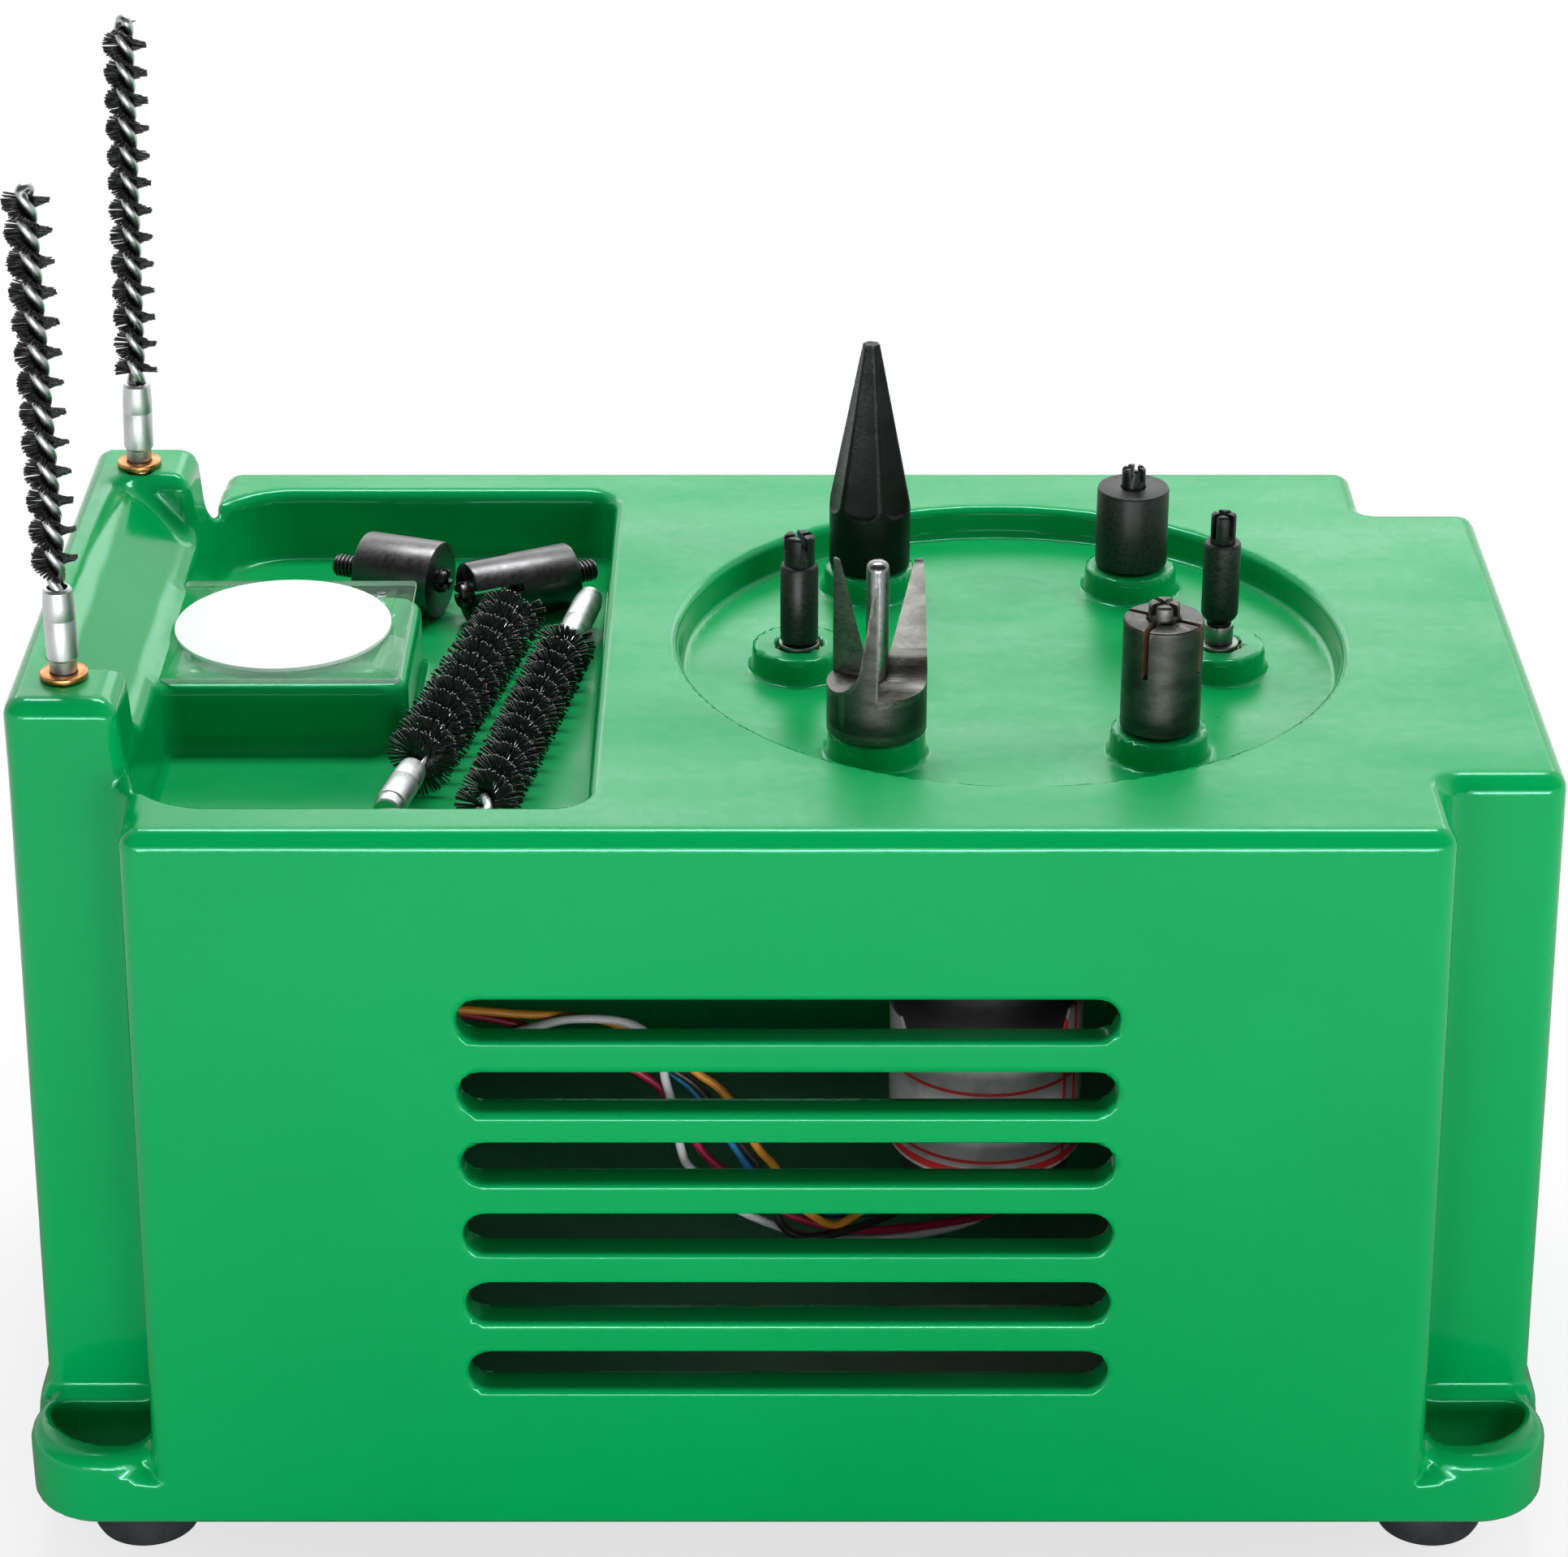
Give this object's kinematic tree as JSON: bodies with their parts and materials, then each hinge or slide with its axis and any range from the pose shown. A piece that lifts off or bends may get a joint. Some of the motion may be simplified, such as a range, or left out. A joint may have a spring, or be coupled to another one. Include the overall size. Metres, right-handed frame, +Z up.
{
  "type": "powered cartridge case preparation centre",
  "caption": "Moulded bench housing with a tool tray, upright brushes and a ring of motor-driven spindles that carry case cleaning and deburring tools.",
  "frame": {"origin": "on the bench, under the middle of the housing, level with the bottoms of the rubber feet", "axes": "+X to the right as seen by the user, +Y away from the user, +Z up"},
  "size_m": [0.2656, 0.1602, 0.2427],
  "materials": {
    "green_moulding": "semi-gloss moulded plastic, slightly mottled",
    "dark_plate": "satin dark grey paint",
    "zinc_screw": "zinc plated",
    "black_rubber": "matte rubber",
    "plate_steel": "rolled sheet steel",
    "bronze": "sintered bronze",
    "dark_cast_metal": "black painted die casting",
    "motor_steel": "plated steel can",
    "paper_wrap": "printed paper wrap with red line pairs",
    "black_plastic": "moulded nylon",
    "lead_insulation": "coloured insulation",
    "turned_brass": "turned brass",
    "copper_washer": "copper-coloured washer",
    "bright_aluminium": "crimped bright tube",
    "twisted_wire": "galvanised wire",
    "black_nylon": "nylon bristles",
    "shaft_steel": "ground steel",
    "white_acetal": "natural acetal",
    "black_oxide_steel": "black oxide",
    "ground_steel": "worn ground steel",
    "clear_plastic": "clear, polished",
    "white_card": "smooth white"
  },
  "bodies": {
    "base": {"housing": "green_moulding", "base_plate": "dark_plate", "base_screws": "zinc_screw", "rubber_feet": "black_rubber", "gear_plate": "plate_steel", "gear_plate_posts": "plate_steel", "gear_plate_screws": "zinc_screw", "upper_bushes": "bronze", "lower_bushes": "bronze", "gearbox_case": "dark_cast_metal", "motor_can": "motor_steel", "motor_wrap": "paper_wrap", "motor_end_cap": "black_plastic", "motor_leads": "lead_insulation", "terminal_block": "black_plastic", "cord_inlet": "black_plastic", "switch_body": "black_plastic", "brush_inserts": "turned_brass", "brush_washers": "copper_washer", "front_brush_ferrule": "bright_aluminium", "front_brush_stem": "twisted_wire", "front_brush_bristles": "black_nylon", "rear_brush_ferrule": "bright_aluminium", "rear_brush_stem": "twisted_wire", "rear_brush_bristles": "black_nylon"},
    "drive": {"drive_shaft": "shaft_steel", "drive_gear": "turned_brass"},
    "spindle_l": {"spindle_l": "shaft_steel", "gear_l": "white_acetal", "large_pocket_brush_l": "black_oxide_steel"},
    "spindle_r": {"spindle_r": "shaft_steel", "gear_r": "white_acetal", "small_pocket_brush_r": "black_oxide_steel"},
    "spindle_bl": {"spindle_bl": "shaft_steel", "gear_bl": "white_acetal", "chamfer_cone_bl": "black_oxide_steel"},
    "spindle_br": {"spindle_br": "shaft_steel", "gear_br": "white_acetal", "uniformer_body_br": "black_oxide_steel", "uniformer_cutter_br": "black_oxide_steel"},
    "spindle_fl": {"spindle_fl": "shaft_steel", "gear_fl": "white_acetal", "deburr_crown_fl": "ground_steel", "deburr_pilot_fl": "ground_steel"},
    "spindle_fr": {"spindle_fr": "shaft_steel", "gear_fr": "white_acetal", "uniformer_body_fr": "ground_steel", "uniformer_cutter_fr": "ground_steel"},
    "rocker": {"switch_rocker": "black_plastic"},
    "dish": {"dish_plate": "clear_plastic", "dish_disc": "white_card"},
    "loose_brush_a": {"loose_brush_a_ferrule": "bright_aluminium", "loose_brush_a_stem": "twisted_wire", "loose_brush_a_bristles": "black_nylon"},
    "loose_brush_b": {"loose_brush_b_ferrule": "bright_aluminium", "loose_brush_b_stem": "twisted_wire", "loose_brush_b_bristles": "black_nylon"},
    "loose_tool_a": {"loose_tool_a": "black_oxide_steel"},
    "loose_tool_b": {"loose_tool_b": "black_oxide_steel"}
  },
  "joints": [
    {"name": "drive_spin", "type": "hinge", "parent": "base", "child": "drive", "pos_m": [0.039, 0, 0.12], "axis": [0, 0, 1], "continuous": true},
    {"name": "spindle_l_spin", "type": "hinge", "parent": "base", "child": "spindle_l", "pos_m": [0.002, 0, 0.12], "axis": [0, 0, 1], "continuous": true},
    {"name": "spindle_r_spin", "type": "hinge", "parent": "base", "child": "spindle_r", "pos_m": [0.076, 0, 0.12], "axis": [0, 0, 1], "continuous": true},
    {"name": "spindle_bl_spin", "type": "hinge", "parent": "base", "child": "spindle_bl", "pos_m": [0.015, 0.03447, 0.12], "axis": [0, 0, 1], "continuous": true},
    {"name": "spindle_br_spin", "type": "hinge", "parent": "base", "child": "spindle_br", "pos_m": [0.063, 0.03447, 0.12], "axis": [0, 0, 1], "continuous": true},
    {"name": "spindle_fl_spin", "type": "hinge", "parent": "base", "child": "spindle_fl", "pos_m": [0.015, -0.03447, 0.12], "axis": [0, 0, 1], "continuous": true},
    {"name": "spindle_fr_spin", "type": "hinge", "parent": "base", "child": "spindle_fr", "pos_m": [0.063, -0.03447, 0.12], "axis": [0, 0, 1], "continuous": true},
    {"name": "switch_rock", "type": "hinge", "parent": "base", "child": "rocker", "pos_m": [0.12758, -0.026, 0.1075], "axis": [0, -1, 0], "range_deg": [0, 16]},
    {"name": "dish_lift", "type": "slide", "parent": "base", "child": "dish", "axis": [0, 0, 1], "range_m": [0, 0.05]},
    {"name": "brush_a_lift", "type": "slide", "parent": "base", "child": "loose_brush_a", "axis": [0, 0, 1], "range_m": [0, 0.06]},
    {"name": "brush_b_lift", "type": "slide", "parent": "base", "child": "loose_brush_b", "axis": [0, 0, 1], "range_m": [0, 0.06]},
    {"name": "tool_a_lift", "type": "slide", "parent": "base", "child": "loose_tool_a", "axis": [0, 0, 1], "range_m": [0, 0.06]},
    {"name": "tool_b_lift", "type": "slide", "parent": "base", "child": "loose_tool_b", "axis": [0, 0, 1], "range_m": [0, 0.06]}
  ],
  "couplings": [
    {"joint": "spindle_l_spin", "follows": "drive_spin", "ratio": -2.0833},
    {"joint": "spindle_r_spin", "follows": "drive_spin", "ratio": -2.0833},
    {"joint": "spindle_bl_spin", "follows": "drive_spin", "ratio": -1.4706},
    {"joint": "spindle_br_spin", "follows": "drive_spin", "ratio": -1.4706},
    {"joint": "spindle_fl_spin", "follows": "drive_spin", "ratio": -1.4706},
    {"joint": "spindle_fr_spin", "follows": "drive_spin", "ratio": -1.4706}
  ]
}
